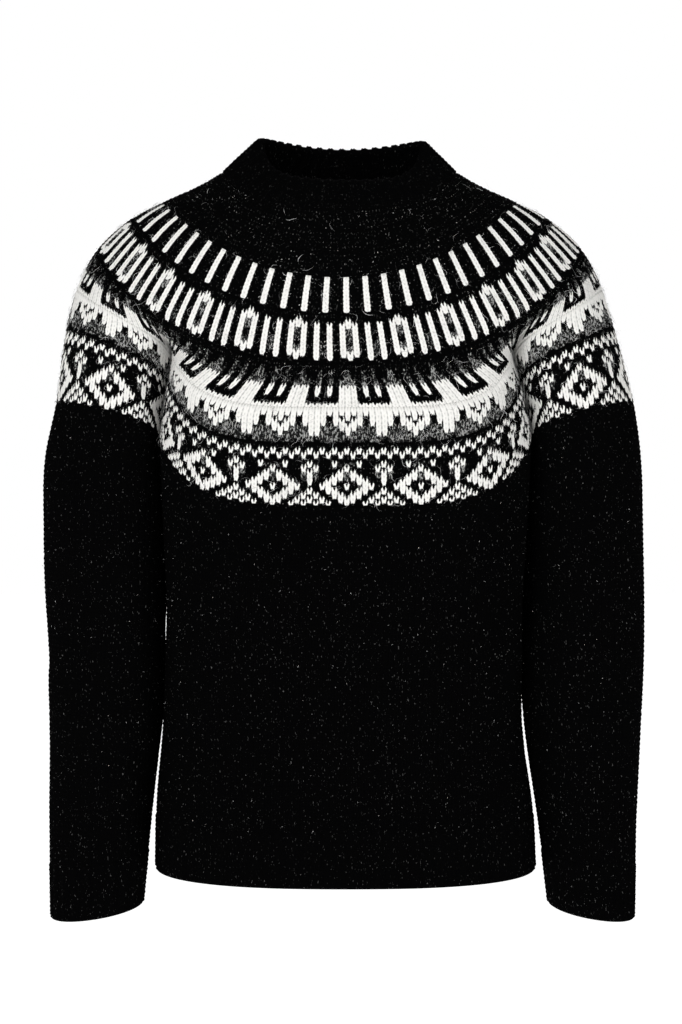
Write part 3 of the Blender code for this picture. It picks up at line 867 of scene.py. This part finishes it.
LOZENGES = (
    "........",
    "....W...",
    ".W.WWW.W",
    ".W.WgW.W",
    ".W.WgW.W",
    ".W.WdW.W",
    "dW.W.W.W",
    "dW.WdW.W",
    "dW.WgW.W",
    "dW.WWW.W",
    ".W..W..W",
    "........",
)
RAYS = (".W.",) * 9 + ("...",)
YOKE_BANDS = (
    # name, start, end, stitches, chart, rows, turn towards the wearer's left, height of the last row
    ("yoke_neck", 0.0, 0.080, 104, None, 5, 0.0, 1.0),
    ("yoke_collarbone", 0.080, 0.160, 120, None, 5, 0.0, 1.0),
    ("yoke_shoulder", 0.160, 0.249, 136, None, 6, 0.0, 1.0),
    ("yoke_rays", 0.249, 0.367, 162, RAYS, len(RAYS), 0.006, 0.4),
    ("yoke_lozenges", 0.367, 0.530, 192, LOZENGES, len(LOZENGES), 0.007, 1.0),
    ("yoke_bars", 0.530, 0.678, 256, BARS, len(BARS), 0.0027, 1.0),
    ("yoke_tabs", 0.678, 0.790, 297, TABS, len(TABS), 0.002, 1.0),
    ("yoke_diamonds", 0.790, 1.0, 300, DIAMONDS, len(DIAMONDS), 0.001, 0.4),
)

# %% Knit the yoke
def row_levels(start, end, rows, last):
    """The shares of the way down at which rows begin and end. The last row may be a lower one."""
    heights = np.ones(FACES_UP * rows)
    heights[-FACES_UP:] = last
    return start + (end - start) * np.concatenate([[0.0], np.cumsum(heights) / heights.sum()])


for name, start, end, stitches, chart, rows, turn, last in YOKE_BANDS:
    rings = [yoke_ring(down) for down in row_levels(start, end, rows, last)]
    knit(name, "yoke", "yoke_wool", yoke_wool, rings, stitches, chart, turn)

# %% [markdown]
# ## Body and sleeves
#
# Both are plain black tubes. The whole tube is laid out and folded first, and is then knitted in
# stretches with their own number of stitches, because a sleeve narrows to the wrist.
# %% Knit the tubes
def tube_rings(ring, rib_top, length, folds):
    rows = round(rib_top * length / ROW)
    rings = [ring(down) for down in np.linspace(0.0, rib_top, FACES_UP * rows + 1)]
    return folded(rings, folds)


def knit_tube(name, ring, rib_top, length, stretches, inside):
    rings = tube_rings(ring, rib_top, length, FOLDS[name])
    rows = (len(rings) - 1) // FACES_UP
    cuts = [FACES_UP * round(rows * i / len(stretches)) for i in range(len(stretches) + 1)]
    for number, stitches in enumerate(stretches):
        part = rings[cuts[number] : cuts[number + 1] + 1]
        label = f"{name}_{number + 1}"
        knit(label, name, "black_wool", black_wool, part, stitches, inside=inside)


knit_tube("body", body_ring, BODY_RIB_TOP, BODY_LENGTH, (182, 178), 5)
knit_tube("sleeve_right", right_sleeve_ring, SLEEVE_RIB_TOP, SLEEVE_LENGTH, (66, 58, 48), 5)
knit_tube("sleeve_left", left_sleeve_ring, SLEEVE_RIB_TOP, SLEEVE_LENGTH, (66, 58, 48), 5)

# %% [markdown]
# ## Ribs
#
# Hem and cuffs are one-by-one rib, which draws in a little and keeps the edge elastic.
# %% Knit the ribs
RIB_ROWS = round(RIB_DEPTH / ROW)


def knit_rib(name, ring, rib_top, stitches):
    levels = np.linspace(rib_top, 1.0, FACES_UP * RIB_ROWS + 1)
    rings = [ring(down) for down in levels]
    knit(name + "_knit", name, "rib_wool", rib_wool, rings, stitches, ribbed=True)


knit_rib("hem_rib", body_ring, BODY_RIB_TOP, 172)
knit_rib("cuff_right", right_sleeve_ring, SLEEVE_RIB_TOP, 44)
knit_rib("cuff_left", left_sleeve_ring, SLEEVE_RIB_TOP, 44)

# %% [markdown]
# ## The neckband
#
# The band is knitted twice its height and folded in half to the inside, so its rings run up the
# outside, round the fold and down the inside.
# %% Knit the neckband
BAND_ROWS = 10
FOLD_ROWS = 2
BAND_STITCHES = 88


def folded_band():
    outer = np.array([band_ring(up) for up in np.linspace(0.0, 1.0, FACES_UP * BAND_ROWS + 1)])
    out = cloth_normals(outer[::-1])[::-1]
    radius = BAND_WALL / 2
    steps = FACES_UP * FOLD_ROWS
    turn = np.linspace(0.0, math.pi, steps + 1)[1:-1]
    rise = outer[-1] - outer[-2]
    rise /= np.linalg.norm(rise, axis=1)[:, None]
    centre = outer[-1] - out[-1] * radius
    crown = [centre + radius * (out[-1] * math.cos(a) + rise * math.sin(a)) for a in turn]
    inner = (outer - out * BAND_WALL)[::-1]
    return np.concatenate([outer, crown, inner])[::-1]


knit(
    "neckband_knit", "neckband", "rib_wool", rib_wool, folded_band(), BAND_STITCHES, ribbed=True
)

# %% [markdown]
# ## Stray fibres
#
# Hairy wool has long fibres that work loose and lie over the fabric. Against the pattern they show
# as fine pale lines, and on the black wool short ends show as specks. One fibre is a thin spindle
# of a few faces. The Array modifier repeats it, and each copy is then bent, turned and laid on the
# cloth in one step for all of them. Most of the long ones lie where the pale yarn is. Each copy has
# 24 triangles, so their number is what keeps the whole model under a million.
# %% Stray fibres
FIBRE_SIDES = 3
FIBRE_STEPS = 5
FIBRE_SETS = (
    # name, node, fibres, length, thickness, share that lies on pale yarn, lowest of its shades
    ("fuzz_yoke", "yoke", 4000, 0.0095, 0.00010, 0.96, 0.30),
    ("specks_yoke", "yoke", 1200, 0.0015, 0.00018, 0.0, 0.15),
    ("specks_body", "body", 600, 0.0013, 0.00015, 0.0, 0.05),
    ("specks_sleeves", "sleeve_left", 400, 0.0013, 0.00015, 0.0, 0.05),
)
APART = 10.0


def spindle():
    build = bmesh.new()
    bmesh.ops.create_grid(build, x_segments=FIBRE_SIDES, y_segments=FIBRE_STEPS, size=0.5)
    for corner in build.verts:
        turn = 2 * math.pi * (corner.co.x + 0.5)
        share = corner.co.y + 0.5
        radius = 4 * share * (1 - share)
        corner.co = (radius * math.cos(turn), radius * math.sin(turn), share)
    bmesh.ops.remove_doubles(build, verts=build.verts, dist=0.0001)
    bmesh.ops.recalc_face_normals(build, faces=build.faces)
    mesh = bpy.data.meshes.new("spindle")
    build.to_mesh(mesh)
    build.free()
    return mesh


def repeated(mesh, count):
    """The mesh as many times in a row along X, APART from each other."""
    row = bpy.data.objects.new("row", mesh)
    bpy.context.scene.collection.objects.link(row)
    array = row.modifiers.new("array", "ARRAY")
    array.count = count
    array.use_relative_offset = False
    array.use_constant_offset = True
    array.constant_offset_displace = (APART, 0.0, 0.0)
    made = bpy.data.meshes.new_from_object(row.evaluated_get(bpy.context.evaluated_depsgraph_get()))
    bpy.data.objects.remove(row)
    return made


def roots(prefix, count, on_pale):
    """Points of the cloth to lay fibres on, their outward directions and how pale the yarn is."""
    parts = [cloth[name] for name in cloth if name.startswith(prefix)]
    points = np.concatenate([bed.reshape(-1, 3) for bed, out, tones in parts])
    outs = np.concatenate([out.reshape(-1, 3) for bed, out, tones in parts])
    pale = np.concatenate([tones.reshape(-1, 2).sum(axis=1) for bed, out, tones in parts])
    weight = (1 - on_pale) / len(points) + on_pale * pale / max(pale.sum(), 1.0)
    chosen = hand.choice(len(points), count, p=weight / weight.sum())
    return points[chosen], outs[chosen]


def lay_fibres(name, prefix, count, length, thickness, on_pale, lowest):
    mesh = repeated(spindle(), count)
    local = np.empty(len(mesh.vertices) * 3, np.float32)
    mesh.vertices.foreach_get("co", local)
    local = local.reshape(-1, 3).astype(float)
    copy = np.rint(local[:, 0] / APART).astype(int)
    local[:, 0] -= copy * APART
    start, out = roots(prefix, count, on_pale)
    lean = hand.normal(size=(count, 3))
    run = lean - out * (lean * out).sum(axis=1)[:, None] * 0.8
    run /= np.linalg.norm(run, axis=1)[:, None]
    side = np.cross(out, run)
    side /= np.linalg.norm(side, axis=1)[:, None]
    reach = length * hand.uniform(0.45, 1.55, count)
    bend = reach * hand.normal(0.0, 0.30, count)
    curl = reach * hand.normal(0.0, 0.12, count)
    lift = hand.uniform(0.0004, 0.0016, count)
    share = local[:, 2]
    along_run = (reach[copy] * (share - 0.5))[:, None] * run[copy]
    sideways = bend[copy] * 4 * share * (1 - share) + curl[copy] * np.sin(2 * math.pi * share)
    above = lift[copy] * (1 + 0.6 * np.sin(math.pi * share))
    thick = thickness * hand.uniform(0.7, 1.3, count)[copy]
    sideways += thick * local[:, 0]
    above += thick * local[:, 1]
    laid = start[copy] + along_run + sideways[:, None] * side[copy] + above[:, None] * out[copy]
    mesh.vertices.foreach_set("co", laid.astype(np.float32).ravel())
    corners = np.empty(len(mesh.loops), np.int32)
    mesh.loops.foreach_get("vertex_index", corners)
    cells = math.ceil(math.sqrt(count))
    spot = np.column_stack([0.5 + 0.4 * local[:, 0], 0.1 + 0.8 * share])
    flat = ((np.column_stack([copy % cells, copy // cells]) + spot) / cells)[corners]
    mesh.uv_layers.new(name="OFBake").data.foreach_set("uv", flat.astype(np.float32).ravel())
    shades = np.ones((len(local), 4), np.float32)
    shades[:, :3] = hand.uniform(lowest, 1.0, count)[copy][:, None] ** 1.5
    tint = mesh.color_attributes.new("tint", "FLOAT_COLOR", "POINT")
    tint.data.foreach_set("color", shades.ravel())
    mesh.shade_smooth()
    mesh.name = name
    fuzz = bpy.data.objects.new(name, mesh)
    bpy.context.scene.collection.objects.link(fuzz)
    mesh.materials.append(fibre_wool)
    return fuzz


fibre_wool = bpy.data.materials.new("fibre_wool")
fibre_wool.use_nodes = True
fibre_shader = fibre_wool.node_tree.nodes["Principled BSDF"]
tint = Shade(fibre_wool.node_tree).node("ShaderNodeAttribute", settings={"attribute_name": "tint"})
fibre_wool.node_tree.links.new(tint.socket, fibre_shader.inputs["Base Color"])
fibre_shader.inputs["Roughness"].default_value = 0.9
fibre_shader.inputs["Specular IOR Level"].default_value = 0.1

for name, node, count, length, thickness, on_pale, lowest in FIBRE_SETS:
    prefix = node.split("_")[0]
    fuzz = lay_fibres(name, prefix, count, length, thickness, on_pale, lowest)
    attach(fuzz, "root")
    print(f"{name}: {count} fibres, {len(fuzz.data.polygons)} faces")

# %% [markdown]
# ## Floor and light
#
# The photograph has a plain white ground and even, frontal light. A large soft light from the upper
# left and a weaker one from the right keep a little shade on the stitches, and a third lights the
# back. The floor glows and the sky is seen as full white, so that no horizon shows.
# %% Stage
FLOOR_Z = -1.25
FLOOR_SIZE = 30.0
FLOOR_GLOW = 0.75
SKY_LIGHT = 0.35  # what the sky gives the garment. The eye sees it as full white.


def pale_floor():
    build = bmesh.new()
    bmesh.ops.create_grid(build, x_segments=1, y_segments=1, size=FLOOR_SIZE)
    bmesh.ops.translate(build, verts=build.verts, vec=(0.0, 0.0, FLOOR_Z))
    mesh = bpy.data.meshes.new("floor")
    build.to_mesh(mesh)
    build.free()
    material = bpy.data.materials.new("pale_floor")
    material.use_nodes = True
    shader = material.node_tree.nodes["Principled BSDF"]
    shader.inputs["Base Color"].default_value = (0.95, 0.95, 0.95, 1.0)
    shader.inputs["Roughness"].default_value = 0.9
    shader.inputs["Emission Color"].default_value = (1.0, 1.0, 1.0, 1.0)
    shader.inputs["Emission Strength"].default_value = FLOOR_GLOW
    mesh.materials.append(material)
    floor = bpy.data.objects.new("floor", mesh)
    bpy.context.scene.collection.objects.link(floor)


def soft_light(name, place, size, power):
    data = bpy.data.lights.new(name, "AREA")
    data.shape = "SQUARE"
    data.size = size
    data.energy = power
    light = bpy.data.objects.new(name, data)
    light.location = place
    aim = np.array((0.0, 0.0, -0.35)) - place
    flat = math.hypot(aim[0], aim[1])
    light.rotation_euler = (math.atan2(flat, -aim[2]), 0.0, math.atan2(-aim[0], aim[1]))
    bpy.context.scene.collection.objects.link(light)


pale_floor()
soft_light("key", (-1.1, -2.3, 1.4), 1.0, 42.0)
soft_light("fill", (1.9, -1.9, 0.3), 1.4, 13.0)
soft_light("back", (0.4, 2.4, 1.6), 1.4, 14.0)
sky = bpy.data.worlds.new("sky")
sky.use_nodes = True
background = sky.node_tree.nodes["Background"]
background.inputs["Color"].default_value = (1.0, 1.0, 1.0, 1.0)
seen = Shade(sky.node_tree).node("ShaderNodeLightPath", output="Is Camera Ray")
strength = seen * (1.0 - SKY_LIGHT) + SKY_LIGHT
sky.node_tree.links.new(strength.socket, background.inputs["Strength"])
bpy.context.scene.world = sky
bpy.context.scene.view_settings.view_transform = "Standard"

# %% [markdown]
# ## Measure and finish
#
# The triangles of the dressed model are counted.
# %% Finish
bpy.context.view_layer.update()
triangles = 0
for piece in bpy.data.objects:
    if piece.type == "MESH" and piece.name not in frame["nodes"]:
        triangles += sum(len(face.vertices) - 2 for face in piece.data.polygons)
print(f"{triangles} triangles in the dressed model")
